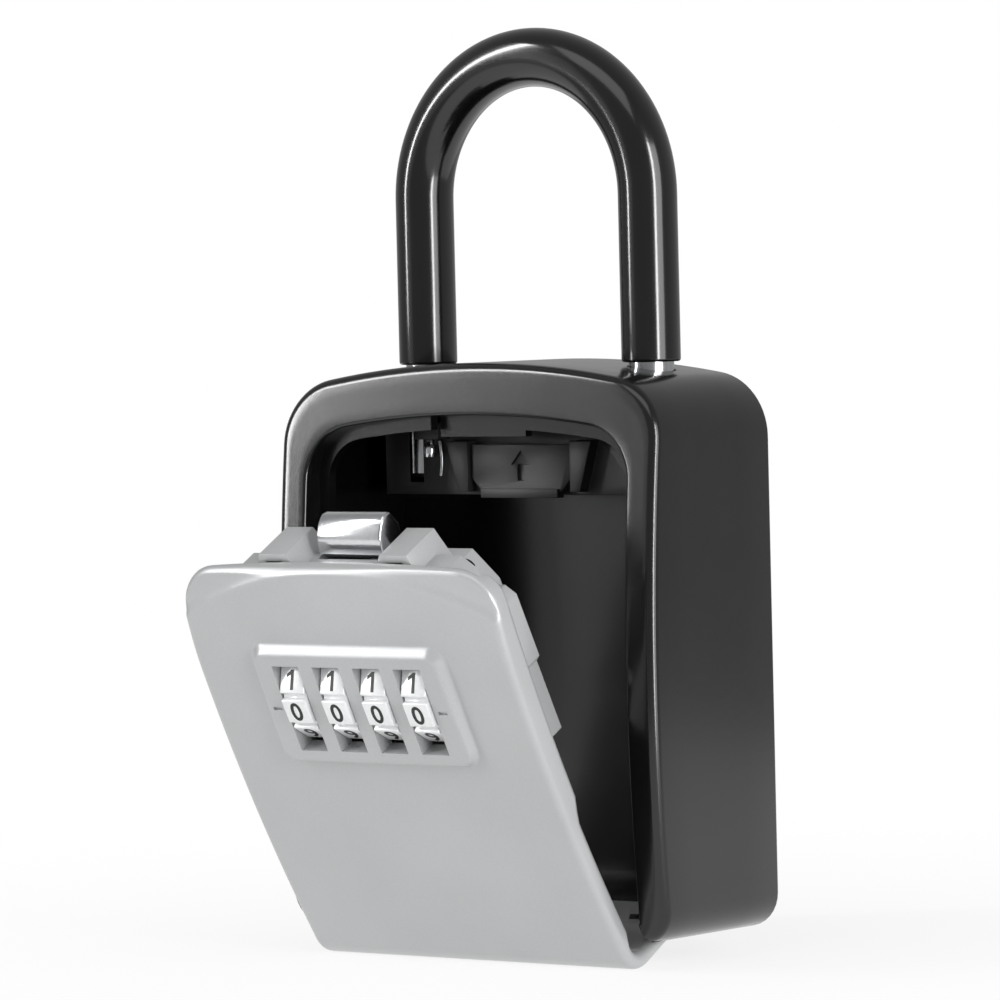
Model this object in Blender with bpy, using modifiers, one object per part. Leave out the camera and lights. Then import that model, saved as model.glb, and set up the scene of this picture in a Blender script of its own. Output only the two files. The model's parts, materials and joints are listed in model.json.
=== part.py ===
"""Key lock box with a shackle: a die-cast box, a drop-down door with four dials, and a lifting shackle.

Lengths at the top are millimetres in the box's own directions: x to the right, y back from the most
forward line of the front, z up from the underside. The model's origin is on the back face, where the
box meets a wall. The door is modelled shut, on an empty at its hinge, which then swings it open.
"""

import math

import bmesh
import bpy
from mathutils import Matrix, Vector

MM = 0.001
GAP = 0.3  # between pieces that touch or slide on each other

# Box
HALF_WIDTH = 46.9
HEIGHT = 113.4
DEPTH = 41.0
ARCH = 215.0  # radius of the arched top
CORNER = 13.0
FOOT_CORNER = 7.0
FRONT_RADIUS = 437.0  # the front is bowed from top to bottom
FRONT_APEX = 51.5  # height of the most forward line
ORIGIN_HEIGHT = 57.0
WALL = 3.2
BACK_WALL = 2.6
FRONT_ROUND = 1.8

# Opening in the front: a rebate for the door, then a thin lip that the door shuts against
OPENING_HALF = 39.9
OPENING_TOP = 103.1
OPENING_CORNER = 11.0
REBATE_END = 6.1
LIP_END = 8.3
LIP_HALF = 37.5
LIP_TOP = 100.4
NOTCH_HALF = 11.0  # finger gap in the lip above the latch button
SILL_END = 18.6  # the door's own foot closes the underside as far back as this
STRIKE_BOTTOM = 98.7

# Door
OPEN_ANGLE = 29.0
HINGE_Y = 14.6
HINGE_Z = 3.4
PIN_RADIUS = 1.2
RAIL_ROUND = 4.6
DOOR_HALF = 38.9
DOOR_TOP = 93.8
DOOR_ARCH = 450.0
DOOR_CORNER = 9.5
PROUD = 3.0  # the shut door stands this far out of the box's front
PLATE = 3.4
FOOT_ROUND = 6.5

# Dials
DIAL_COUNT = 4
DIAL_PITCH = 10.0
DIAL_RADIUS = 10.8
DIAL_WIDTH = 6.0
DIGITS = 10
AXLE_Y = 4.0
AXLE_Z = 64.4
AXLE_RADIUS = 1.8
CAM_RADIUS = 4.6
SLOT_WIDTH = 6.6
SLOT_LENGTH = 19.2
POCKET_FRONT = -1.9  # the dials' pocket in the back of the door starts here
PAD_HALF = 23.4  # raised pad round the dials
PAD_LOW = 51.8
PAD_HIGH = 77.4
PAD_RISE = 1.7

# Cover on the back of the door: a side step, a lower screw step at the top, and a deep middle over the dials
COVER_FRONT = -2.0  # trimmed back to the bowed inner face of the door
COVER_WALL = 1.5
SIDE_BACK = 12.3
STEP_BACK = 9.4
MIDDLE_BACK = 18.8
HUMP_BACK = 13.0
TOP_SCREW = (24.2, 86.9)
LOW_SCREW = (27.9, 58.5)
SCREWS = {
    "top_left": (-TOP_SCREW[0], TOP_SCREW[1]), "top_right": TOP_SCREW,
    "low_left": (-LOW_SCREW[0], LOW_SCREW[1]), "low_right": LOW_SCREW,
}
SCREW_RADIUS = 1.3
HEAD_RADIUS = 3.0
BOSS_RADIUS = 2.2

# Slide on the inside of the door for setting a new code
RESET_X = -20.4
RESET_LOW = 62.0
RESET_STROKE = 4.0
RESET_HEIGHT = 4.0

# Latch
LATCH_HALF = 7.9
LATCH_LOW = 89.5
LATCH_TOP = 98.3
LATCH_STROKE = 3.2
SPRING_X = 13.0
PLATE_FRONT = 15.9
PLATE_BACK = 16.9

# Shackle
LEG_X = 28.0
LEG_Y = 27.6
CORE_RADIUS = 4.55
SLEEVE_RADIUS = 5.9
ARCH_CENTRE = 146.1
SLEEVE_END = 112.8
LEG_END = 90.0
BOLT_Z = 94.0
BOLT_HALF = 2.5
LOCK_FRONT = 23.0  # front face of the lock's housing
LOCK_LOW = 86.5
LOCK_HALF = 36.0
HOUSING_SCREW = (15.2, 101.4)
HOUSING_SCREW_RADIUS = 1.5
SLIDER_HALF = 12.4
SLIDER_LOW = 87.2
WEDGE_FOOT = 4.0
KEEPER = (-22.6, 20.6)
WEDGE_SLOPE = 0.75  # sideways travel of a lock bolt for each millimetre of the release slider

BOX_BASE = Vector((0.0, DEPTH, ORIGIN_HEIGHT))
DOOR_BASE = Vector((0.0, HINGE_Y, HINGE_Z))
COLOURS = {
    "black_paint": ((0.012, 0.012, 0.013), 0.32, 0.0),
    "grey_paint": ((0.50, 0.50, 0.50), 0.38, 0.3),
    "chrome": ((0.80, 0.80, 0.80), 0.12, 1.0),
    "steel": ((0.55, 0.55, 0.56), 0.3, 1.0),
    "black_sleeve": ((0.01, 0.01, 0.011), 0.18, 0.0),
    "dial_white": ((0.80, 0.80, 0.80), 0.4, 0.0),
    "black_plastic": ((0.02, 0.02, 0.02), 0.5, 0.0),
}


# ---------------------------------------------------------------- scene and materials

def clear_scene():
    for item in list(bpy.data.objects):
        bpy.data.objects.remove(item, do_unlink=True)


def new_collection(name):
    group = bpy.data.collections.new(name)
    bpy.context.scene.collection.children.link(group)
    return group


def finish(name):
    """The finish's material, made the first time that it is asked for."""
    if name in bpy.data.materials:
        return bpy.data.materials[name]
    colour, roughness, metallic = COLOURS[name]
    made = bpy.data.materials.new(name)
    made.use_nodes = True
    shader = made.node_tree.nodes["Principled BSDF"]
    shader.inputs["Base Color"].default_value = (*colour, 1.0)
    shader.inputs["Roughness"].default_value = roughness
    shader.inputs["Metallic"].default_value = metallic
    return made


# ---------------------------------------------------------------- placing pieces

def place(item, base):
    """Give an object the origin that its coordinates were measured from."""
    if base is BOX_BASE:
        return item
    item.parent = DOOR_PIVOT
    item.location = (base - DOOR_BASE) * MM
    return item


def piece(name, mesh, look, base=BOX_BASE):
    """A named sub-part. Its mesh is in metres from its base."""
    item = bpy.data.objects.new(name, mesh)
    PARTS.objects.link(item)
    mesh.materials.clear()
    mesh.materials.append(finish(look))
    if look in ("black_sleeve", "steel", "chrome"):
        mesh.shade_smooth()
        mesh.set_sharp_from_angle(angle=math.radians(35))
    return place(item, base)


def cutter(mesh, base=BOX_BASE):
    item = bpy.data.objects.new("cutter", mesh)
    CUTTERS.objects.link(item)
    item.hide_render = True
    item.display_type = "WIRE"
    return place(item, base)


def combine(target, other, operation="DIFFERENCE"):
    """Cut, join or intersect a piece with a cutter object."""
    step = target.modifiers.new(operation.title(), "BOOLEAN")
    step.object = other
    step.operation = operation
    step.solver = "EXACT"
    return target


def round_edges(target, width, segments=3, angle=40):
    step = target.modifiers.new("Round", "BEVEL")
    step.width = width * MM
    step.segments = segments
    step.limit_method = "ANGLE"
    step.angle_limit = math.radians(angle)
    step.use_clamp_overlap = True
    return target


# ---------------------------------------------------------------- meshes

def mesh_from(work, name="mesh"):
    mesh = bpy.data.meshes.new(name)
    bmesh.ops.recalc_face_normals(work, faces=work.faces)
    work.to_mesh(mesh)
    work.free()
    return mesh


def block(low, high, base=BOX_BASE):
    """A box between two corners."""
    low, high = Vector(low), Vector(high)
    work = bmesh.new()
    bmesh.ops.create_cube(work, size=1.0)
    size = Matrix.Diagonal((high - low) * MM).to_4x4()
    middle = Matrix.Translation(((low + high) / 2 - base) * MM)
    bmesh.ops.transform(work, matrix=middle @ size, verts=work.verts)
    return mesh_from(work)


def rod(start, end, radius, base=BOX_BASE, sides=24, end_radius=None):
    """A round bar, or a cone, between two points."""
    start, end = (Vector(start) - base) * MM, (Vector(end) - base) * MM
    work = bmesh.new()
    tip = radius if end_radius is None else end_radius
    bmesh.ops.create_cone(
        work, cap_ends=True, segments=sides, radius1=radius * MM, radius2=tip * MM,
        depth=(end - start).length,
    )
    turn = Vector((0, 0, 1)).rotation_difference(end - start).to_matrix().to_4x4()
    bmesh.ops.transform(work, matrix=Matrix.Translation((start + end) / 2) @ turn, verts=work.verts)
    return mesh_from(work)


def sheet(outline, axis, start, end, base=BOX_BASE):
    """An outline pulled along one axis. It is (y, z) along x, (x, z) along y, and (x, y) along z."""
    curve = bpy.data.curves.new("outline", "CURVE")
    curve.dimensions = "2D"
    curve.fill_mode = "BOTH"
    curve.extrude = abs(end - start) / 2 * MM
    spline = curve.splines.new("POLY")
    spline.points.add(len(outline) - 1)
    for point, (u, v) in zip(spline.points, outline):
        point.co = (u * MM, v * MM, 0.0, 1.0)
    spline.use_cyclic_u = True
    holder = bpy.data.objects.new("outline", curve)
    bpy.context.scene.collection.objects.link(holder)
    graph = bpy.context.evaluated_depsgraph_get()
    flat = bpy.data.meshes.new_from_object(holder.evaluated_get(graph))
    bpy.data.objects.remove(holder)
    bpy.data.curves.remove(curve)
    work = bmesh.new()
    work.from_mesh(flat)
    bpy.data.meshes.remove(flat)
    bmesh.ops.remove_doubles(work, verts=work.verts, dist=0.000001)
    middle = (start + end) / 2 * MM
    turns = {
        "x": Matrix(((0, 0, 1, middle), (1, 0, 0, 0), (0, 1, 0, 0), (0, 0, 0, 1))),
        "y": Matrix(((1, 0, 0, 0), (0, 0, -1, middle), (0, 1, 0, 0), (0, 0, 0, 1))),
        "z": Matrix(((1, 0, 0, 0), (0, 1, 0, 0), (0, 0, 1, middle), (0, 0, 0, 1))),
    }
    bmesh.ops.transform(work, matrix=Matrix.Translation(-base * MM) @ turns[axis], verts=work.verts)
    bmesh.ops.dissolve_limit(work, angle_limit=0.001, verts=work.verts, edges=work.edges)
    return mesh_from(work)


def arc(cx, cy, radius, first, last, steps):
    """Points on an arc between two angles in degrees, ends included."""
    angles = [math.radians(first + (last - first) * i / steps) for i in range(steps + 1)]
    return [(cx + radius * math.cos(a), cy + radius * math.sin(a)) for a in angles]


def arched_outline(half, bottom, top, arch, corner, foot=0.0):
    """Front outline: upright sides, an arched top, rounded corners, and feet that may be rounded."""
    arch_centre = top - arch
    corner_x = half - corner
    corner_z = arch_centre + math.sqrt((arch - corner) ** 2 - corner_x ** 2)
    meet = math.degrees(math.atan2(corner_z - arch_centre, corner_x))
    right = arc(corner_x, corner_z, corner, 0, meet, 7)
    over = arc(0, arch_centre, arch, meet, 180 - meet, 12)[1:-1]
    left = arc(-corner_x, corner_z, corner, 180 - meet, 180, 7)
    if foot:
        low_left = arc(-half + foot, bottom + foot, foot, 180, 270, 5)
        low_right = arc(half - foot, bottom + foot, foot, 270, 360, 5)
    else:
        low_left, low_right = [(-half, bottom)], [(half, bottom)]
    return right + over + left + low_left + low_right


def mirrored(half):
    """A closed outline from the points of its right half."""
    return half + [(-x, z) for x, z in reversed(half)]


def front_y(z):
    """How far back the bowed front lies at a height."""
    return (z - FRONT_APEX) ** 2 / (2 * FRONT_RADIUS)


def bow(start_z, end_z, offset, steps=14):
    """Points (y, z) down or up the bowed front, moved back by an offset."""
    heights = [start_z + (end_z - start_z) * i / steps for i in range(steps + 1)]
    return [(front_y(z) + offset, z) for z in heights]


# ---------------------------------------------------------------- box

def make_body_shell():
    outline = arched_outline(HALF_WIDTH, 0, HEIGHT, ARCH, CORNER, FOOT_CORNER)
    shell = piece("body_shell", sheet(outline, "y", -8, DEPTH), "black_paint")
    ahead = [(-20, -10), (-20, HEIGHT + 10)] + bow(HEIGHT + 10, -10, 0)
    combine(shell, cutter(sheet(ahead, "x", -60, 60)))
    round_edges(shell, FRONT_ROUND, segments=4)

    rebate = arched_outline(OPENING_HALF, -8, OPENING_TOP, ARCH, OPENING_CORNER)
    combine(shell, cutter(sheet(rebate, "y", -12, REBATE_END)))
    lip = arched_outline(LIP_HALF, 4, LIP_TOP, ARCH, OPENING_CORNER - 2)
    combine(shell, cutter(sheet(lip, "y", REBATE_END - 2, LIP_END + 2)))
    cavity = arched_outline(HALF_WIDTH - WALL, WALL, HEIGHT - WALL, ARCH, CORNER - WALL, 3)
    combine(shell, cutter(sheet(cavity, "y", LIP_END, DEPTH - BACK_WALL)))
    sill = block((-OPENING_HALF, -12, -8), (OPENING_HALF, SILL_END, WALL + 1))
    combine(shell, cutter(sill))
    notch = block((-NOTCH_HALF, REBATE_END - 2, 94), (NOTCH_HALF, LIP_END + 2, OPENING_TOP - 0.2))
    combine(shell, cutter(notch))
    strike = block((-NOTCH_HALF + 0.4, 8.8, STRIKE_BOTTOM), (NOTCH_HALF - 0.4, 10.8, HEIGHT - 2))
    combine(shell, cutter(strike), "UNION")

    for side in (-1, 1):
        leg_hole = rod((side * LEG_X, LEG_Y, 100), (side * LEG_X, LEG_Y, 130), CORE_RADIUS + 0.4)
        combine(shell, cutter(leg_hole))
    return shell


def make_hinge_pins():
    for side, word in ((-1, "left"), (1, "right")):
        start = (side * (DOOR_HALF - 6.5), HINGE_Y, HINGE_Z)
        end = (side * (HALF_WIDTH - WALL - GAP), HINGE_Y, HINGE_Z)
        piece(f"hinge_pin_{word}", rod(start, end, PIN_RADIUS, sides=16), "steel")


def add_hinge_seats(shell):
    """Each hinge pin sits in a small boss on the floor beside the door, and the rails' feet are rounded."""
    for side in (-1, 1):
        inner, outer = side * (OPENING_HALF + 0.2), side * (HALF_WIDTH - 2.6)
        low, high = min(inner, outer), max(inner, outer)
        boss = block((low, HINGE_Y - 3.4, WALL - 0.6), (high, HINGE_Y + 3.4, HINGE_Z + 4))
        combine(shell, cutter(boss), "UNION")
        seat = rod((side * 36, HINGE_Y, HINGE_Z), (side * (HALF_WIDTH - WALL), HINGE_Y, HINGE_Z),
                   PIN_RADIUS + GAP, sides=16)
        combine(shell, cutter(seat))
        edge = OPENING_HALF + RAIL_ROUND
        outline = [(side * x, z) for x, z in arc(edge, RAIL_ROUND, RAIL_ROUND, 180, 270, 5)]
        inside = side * (OPENING_HALF - 1)
        outline += [(side * edge, -2), (inside, -2), (inside, RAIL_ROUND)]
        combine(shell, cutter(sheet(outline, "y", -12, 7)))


# ---------------------------------------------------------------- shackle lock, inside the top

def make_lock_housing():
    top = HEIGHT - WALL - 3.6
    base = block((-LOCK_HALF, LOCK_FRONT, LOCK_LOW), (LOCK_HALF, DEPTH - BACK_WALL - GAP, top))
    housing = piece("lock_housing", base, "black_plastic")
    for side in (-1, 1):
        socket = rod((side * LEG_X, LEG_Y, LEG_END - 1), (side * LEG_X, LEG_Y, 130), CORE_RADIUS + 0.4)
        combine(housing, cutter(socket))
        x, z = side * HOUSING_SCREW[0], HOUSING_SCREW[1]
        screw = rod((x, LOCK_FRONT - 5, z), (x, DEPTH, z), HOUSING_SCREW_RADIUS + GAP, sides=16)
        combine(housing, cutter(screw))
        rib = [(side * 18.2, 97.4), (side * 12.8, 97.4), (side * 12.8, 87.2), (side * 15.2, 87.2)]
        combine(housing, cutter(sheet(rib, "y", LOCK_FRONT - 3, LOCK_FRONT + 1)), "UNION")
    channel = block((-LEG_X, LEG_Y - BOLT_HALF - GAP, BOLT_Z - BOLT_HALF - GAP),
                    (LEG_X, LEG_Y + BOLT_HALF + GAP, BOLT_Z + BOLT_HALF + GAP))
    combine(housing, cutter(channel))
    well = block((-SLIDER_HALF, LEG_Y - BOLT_HALF - GAP, SLIDER_LOW),
                 (SLIDER_HALF, LEG_Y + BOLT_HALF + GAP, 104.6))
    combine(housing, cutter(well))
    neck = block((-3, LOCK_FRONT - 4, SLIDER_LOW), (3, LEG_Y, 96.6))
    combine(housing, cutter(neck))
    x, y = KEEPER
    bracket = block((x - 2.4, y - 2, 97.8), (x + 3.4, LOCK_FRONT + 0.5, 101.2))
    combine(housing, cutter(bracket), "UNION")
    combine(housing, cutter(rod((x, y, 97), (x, y, 99), 0.9 + GAP, sides=16)))


def make_housing_screws():
    for side, word in ((-1, "left"), (1, "right")):
        x, z = side * HOUSING_SCREW[0], HOUSING_SCREW[1]
        shank = rod((x, LOCK_FRONT - 1, z), (x, DEPTH - BACK_WALL - GAP, z), HOUSING_SCREW_RADIUS, sides=16)
        screw = piece(f"housing_screw_{word}", shank, "steel")
        head = rod((x, LOCK_FRONT - GAP, z), (x, LOCK_FRONT - 2, z), 2.8, sides=20, end_radius=2.2)
        combine(screw, cutter(head), "UNION")


def make_release_slider():
    """A flat plate with an arrow, pushed up to free the shackle; its wedge parts the lock bolts."""
    plate_back = LOCK_FRONT - GAP
    half, low = SLIDER_HALF, SLIDER_LOW
    outline = mirrored([(half - 2.4, low), (half, low + 2.8), (half, low + 9.5)])
    slider = piece("release_slider", sheet(outline, "y", plate_back - 1.8, plate_back), "black_plastic")
    arrow_head = sheet([(-2.4, 92.6), (2.4, 92.6), (0, 95.4)], "y", plate_back - 4, plate_back - 1.3)
    combine(slider, cutter(arrow_head))
    combine(slider, cutter(block((-0.8, plate_back - 4, 89.4), (0.8, plate_back - 1.2, 92.9))))
    combine(slider, cutter(block((-9.6, plate_back - 2.6, 86.0), (9.6, plate_back - 0.4, 87.8))), "UNION")
    combine(slider, cutter(block((-2.6, plate_back - 0.9, 92.2), (2.6, LEG_Y - 1, 95.8))), "UNION")
    low, high = BOLT_Z - BOLT_HALF, BOLT_Z + BOLT_HALF + 5
    reach = WEDGE_FOOT + WEDGE_SLOPE * (high - low)
    wedge = mirrored([(WEDGE_FOOT, low), (reach, high)])
    combine(slider, cutter(sheet(wedge, "y", LEG_Y - 2.2, LEG_Y + 2.2)), "UNION")


def make_lock_bolts():
    low, high = BOLT_Z - BOLT_HALF, BOLT_Z + BOLT_HALF
    inner = WEDGE_FOOT + GAP * 1.4
    outer = LEG_X - CORE_RADIUS - 0.4
    for side, word in ((-1, "left"), (1, "right")):
        outline = [(side * inner, low), (side * outer, low), (side * outer, high),
                   (side * (inner + WEDGE_SLOPE * (high - low)), high)]
        mesh = sheet(outline, "y", LEG_Y - BOLT_HALF, LEG_Y + BOLT_HALF)
        piece(f"lock_bolt_{word}", mesh, "steel")


def make_coil(name, x, y, low, high, radius, wire, turns, look, base=BOX_BASE):
    """A compression spring standing on z, as a wire round a helix."""
    curve = bpy.data.curves.new(name, "CURVE")
    curve.dimensions = "3D"
    curve.bevel_depth = wire * MM
    curve.bevel_resolution = 0
    curve.use_fill_caps = True
    steps = 8 * turns
    spline = curve.splines.new("POLY")
    spline.points.add(steps)
    low, high = low + wire, high - wire
    for i, point in enumerate(spline.points):
        turn = 2 * math.pi * i / 8
        place_at = Vector((x + radius * math.cos(turn), y + radius * math.sin(turn),
                           low + (high - low) * i / steps))
        point.co = (*((place_at - base) * MM), 1.0)
    holder = bpy.data.objects.new(name, curve)
    bpy.context.scene.collection.objects.link(holder)
    graph = bpy.context.evaluated_depsgraph_get()
    mesh = bpy.data.meshes.new_from_object(holder.evaluated_get(graph))
    bpy.data.objects.remove(holder)
    work = bmesh.new()
    work.from_mesh(mesh)
    bmesh.ops.remove_doubles(work, verts=work.verts, dist=0.000001)
    bpy.data.meshes.remove(mesh)
    return piece(name, mesh_from(work, name), look, base)


def make_keeper():
    """A headed pin under a bracket of the lock housing, and the thin bent wire that it holds."""
    x, y = KEEPER
    pin = piece("keeper_pin", rod((x, y, 94.4), (x, y, 98.0 + GAP * 2), 0.9, sides=16), "chrome")
    combine(pin, cutter(rod((x, y, 94.2), (x, y, 96.6), 1.3, sides=16)), "UNION")
    wire = [(x + 2.2 + 0.5 * math.sin(0.4 * t), y, 97.4 - t) for t in range(8)]
    mesh = tube_along("keeper_spring", wire, 0.35, 1)
    piece("keeper_spring", mesh, "steel")


# ---------------------------------------------------------------- shackle

def tube_along(name, path, radius, roundness=6):
    curve = bpy.data.curves.new(name, "CURVE")
    curve.dimensions = "3D"
    curve.bevel_depth = radius * MM
    curve.bevel_resolution = roundness
    curve.use_fill_caps = True
    curve.twist_mode = "MINIMUM"
    spline = curve.splines.new("POLY")
    spline.points.add(len(path) - 1)
    for point, spot in zip(spline.points, path):
        point.co = (*((Vector(spot) - BOX_BASE) * MM), 1.0)
    holder = bpy.data.objects.new(name, curve)
    bpy.context.scene.collection.objects.link(holder)
    graph = bpy.context.evaluated_depsgraph_get()
    mesh = bpy.data.meshes.new_from_object(holder.evaluated_get(graph))
    bpy.data.objects.remove(holder)
    work = bmesh.new()
    work.from_mesh(mesh)
    bmesh.ops.remove_doubles(work, verts=work.verts, dist=0.000001)
    bpy.data.meshes.remove(mesh)
    return mesh_from(work, name)


def shackle_path(low):
    top = [(x, LEG_Y, z) for x, z in arc(0, ARCH_CENTRE, LEG_X, 0, 180, 24)]
    return [(LEG_X, LEG_Y, low)] + top + [(-LEG_X, LEG_Y, low)]


def make_shackle():
    core = piece("shackle_core", tube_along("core", shackle_path(LEG_END), CORE_RADIUS), "steel")
    for side in (-1, 1):
        inner = side * (LEG_X - CORE_RADIUS - 1)
        bite = side * (LEG_X - CORE_RADIUS + 2.8)
        notch = block((min(inner, bite), LEG_Y - 6, BOLT_Z - BOLT_HALF - 0.5),
                      (max(inner, bite), LEG_Y + 6, BOLT_Z + BOLT_HALF + 0.5))
        combine(core, cutter(notch))
    sleeve_mesh = tube_along("sleeve", shackle_path(SLEEVE_END), SLEEVE_RADIUS)
    sleeve = piece("shackle_sleeve", sleeve_mesh, "black_sleeve")
    bore = tube_along("bore", shackle_path(SLEEVE_END - 5), CORE_RADIUS + GAP)
    combine(sleeve, cutter(bore))


# ---------------------------------------------------------------- door

def j_profile():
    """The door from the side: a bowed plate that turns back at the foot round to its hinge."""
    foot_front = front_y(FOOT_ROUND) - PROUD
    outer = bow(DOOR_TOP + 6, FOOT_ROUND, -PROUD)
    corner = arc(foot_front + FOOT_ROUND, FOOT_ROUND, FOOT_ROUND, 180, 270, 6)[1:]
    inner_round = FOOT_ROUND - PLATE
    inner_corner = arc(foot_front + FOOT_ROUND, FOOT_ROUND, inner_round, 270, 180, 4)
    end = arc(HINGE_Y, HINGE_Z, HINGE_Z, 270, 420, 8)
    floor = [(HINGE_Y - 2.4, PLATE)]
    return outer + corner + end + floor + inner_corner + bow(FOOT_ROUND, DOOR_TOP + 6, PLATE - PROUD)[1:]


def make_door_panel():
    plate = sheet(j_profile(), "x", -DOOR_HALF, DOOR_HALF, DOOR_BASE)
    panel = piece("door_panel", plate, "grey_paint", DOOR_BASE)
    outline = arched_outline(DOOR_HALF + 0.01, -6, DOOR_TOP, DOOR_ARCH, DOOR_CORNER)
    combine(panel, cutter(sheet(outline, "y", -20, 30, DOOR_BASE), DOOR_BASE), "INTERSECT")
    round_edges(panel, 1.6, segments=3, angle=50)

    pad_front = -PROUD - PAD_RISE
    pad_side = [(pad_front, PAD_LOW + 0.9), (-PROUD, PAD_LOW - 0.3), (POCKET_FRONT + 0.6, PAD_LOW - 0.3),
                (POCKET_FRONT + 0.6, PAD_HIGH + 0.8), (-PROUD, PAD_HIGH + 0.8), (pad_front, PAD_HIGH - 1.4)]
    pad = cutter(sheet(pad_side, "x", -PAD_HALF - 3, PAD_HALF + 3, DOOR_BASE), DOOR_BASE)
    pad_plan = [(-PAD_HALF - 2, POCKET_FRONT + 2), (-PAD_HALF, pad_front - 1), (PAD_HALF, pad_front - 1),
                (PAD_HALF + 2, POCKET_FRONT + 2)]
    combine(pad, cutter(sheet(pad_plan, "z", PAD_LOW - 5, PAD_HIGH + 5, DOOR_BASE), DOOR_BASE), "INTERSECT")
    combine(panel, pad, "UNION")
    for i in range(DIAL_COUNT):
        x = dial_x(i)
        slot = block((x - SLOT_WIDTH / 2, -12, AXLE_Z - SLOT_LENGTH / 2),
                     (x + SLOT_WIDTH / 2, 4, AXLE_Z + SLOT_LENGTH / 2), DOOR_BASE)
        combine(panel, cutter(slot, DOOR_BASE))
    for side in (-1, 1):
        inner, outer = side * 22.6, side * 24.8
        lug = block((min(inner, outer), -1.2, AXLE_Z - 3), (max(inner, outer), AXLE_Y + 3.6, AXLE_Z + 3),
                    DOOR_BASE)
        combine(panel, cutter(lug, DOOR_BASE), "UNION")
    axle_bore = rod((-30, AXLE_Y, AXLE_Z), (30, AXLE_Y, AXLE_Z), AXLE_RADIUS + GAP, DOOR_BASE)
    combine(panel, cutter(axle_bore, DOOR_BASE))
    pocket = block((-19, POCKET_FRONT, AXLE_Z - 11.2), (22.4, 4, AXLE_Z + 11.2), DOOR_BASE)
    combine(panel, cutter(pocket, DOOR_BASE))
    for x, z in SCREWS.values():
        boss_end = (SIDE_BACK if z < 80 else STEP_BACK) - COVER_WALL - GAP
        boss = rod((x, -1.2, z), (x, boss_end, z), BOSS_RADIUS, DOOR_BASE, sides=20)
        combine(panel, cutter(boss, DOOR_BASE), "UNION")
        thread = rod((x, boss_end - 6, z), (x, 30, z), SCREW_RADIUS + GAP, DOOR_BASE, sides=16)
        combine(panel, cutter(thread, DOOR_BASE))
    for side in (-1, 1):
        bore = rod((side * 30, HINGE_Y, HINGE_Z), (side * 50, HINGE_Y, HINGE_Z), PIN_RADIUS + GAP, DOOR_BASE,
                   sides=16)
        combine(panel, cutter(bore, DOOR_BASE))
    return panel


def dial_x(i):
    return (i - (DIAL_COUNT - 1) / 2) * DIAL_PITCH


def make_dial(i):
    """A wheel with ten flat faces, one for each digit, and a groove between them."""
    x = dial_x(i)
    base = Vector((x, AXLE_Y, AXLE_Z))
    outline = []
    for k in range(DIGITS):
        middle = 360 / DIGITS * k + 180
        for offset, radius in ((-15.5, 1.0), (15.5, 1.0), (18.0, 0.93)):
            angle = math.radians(middle + offset)
            outline.append((AXLE_Y + DIAL_RADIUS * radius * math.cos(angle),
                            AXLE_Z + DIAL_RADIUS * radius * math.sin(angle)))
    mesh = sheet(outline, "x", x - DIAL_WIDTH / 2, x + DIAL_WIDTH / 2, base)
    wheel = piece(f"dial_wheel_{i + 1}", mesh, "dial_white", base)
    hole = rod((x - 9, AXLE_Y, AXLE_Z), (x + 9, AXLE_Y, AXLE_Z), AXLE_RADIUS + GAP, base)
    combine(wheel, cutter(hole, base))

    start = x + DIAL_WIDTH / 2 + GAP
    end = x + DIAL_PITCH - DIAL_WIDTH / 2 - GAP
    disc = rod((start, AXLE_Y, AXLE_Z), (end, AXLE_Y, AXLE_Z), CAM_RADIUS, base, sides=24)
    cam = piece(f"dial_cam_{i + 1}", disc, "steel", base)
    combine(cam, cutter(hole.copy(), base))
    gate = block((start - 1, AXLE_Y - 1.2, AXLE_Z + 2.6), (end + 1, AXLE_Y + 1.2, AXLE_Z + 9), base)
    combine(cam, cutter(gate, base))


def make_axle():
    half = DIAL_PITCH * DIAL_COUNT / 2 + 4.6
    piece("dial_axle", rod((-half, AXLE_Y, AXLE_Z), (half, AXLE_Y, AXLE_Z), AXLE_RADIUS, DOOR_BASE), "steel",
          DOOR_BASE)


def cover_steps(inset):
    """The cover's steps as (outline, back), drawn in by a wall thickness for its hollow."""
    side = [(31.9 - inset, 50 + inset), (31.9 - inset, 65.4 + inset), (33 - inset, 66.6 + inset),
            (33 - inset, 80.6 - inset), (31 - inset, 82.6 - inset)]
    step = [(28.6 - inset, 70), (28.6 - inset, 88.0 - inset * 0.6), (25.6 - inset * 0.6, 91.0 - inset)]
    hump = [(20.4 - inset, 80), (20.4 - inset, 88.5), (18.2 - inset, 94.8 - inset),
            (11.6 + inset, 94.8 - inset), (9.2 + inset * 0.6, 90.0 - inset)]
    middle = [(24.5 - inset, 51.5 + inset), (24.5 - inset, 80 - inset * 0.6), (20.5 - inset, 86.6 - inset)]
    outlines = (side, step, hump, middle)
    backs = (SIDE_BACK, STEP_BACK, HUMP_BACK, MIDDLE_BACK)
    return [(mirrored(half), back - inset) for half, back in zip(outlines, backs)]


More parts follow.
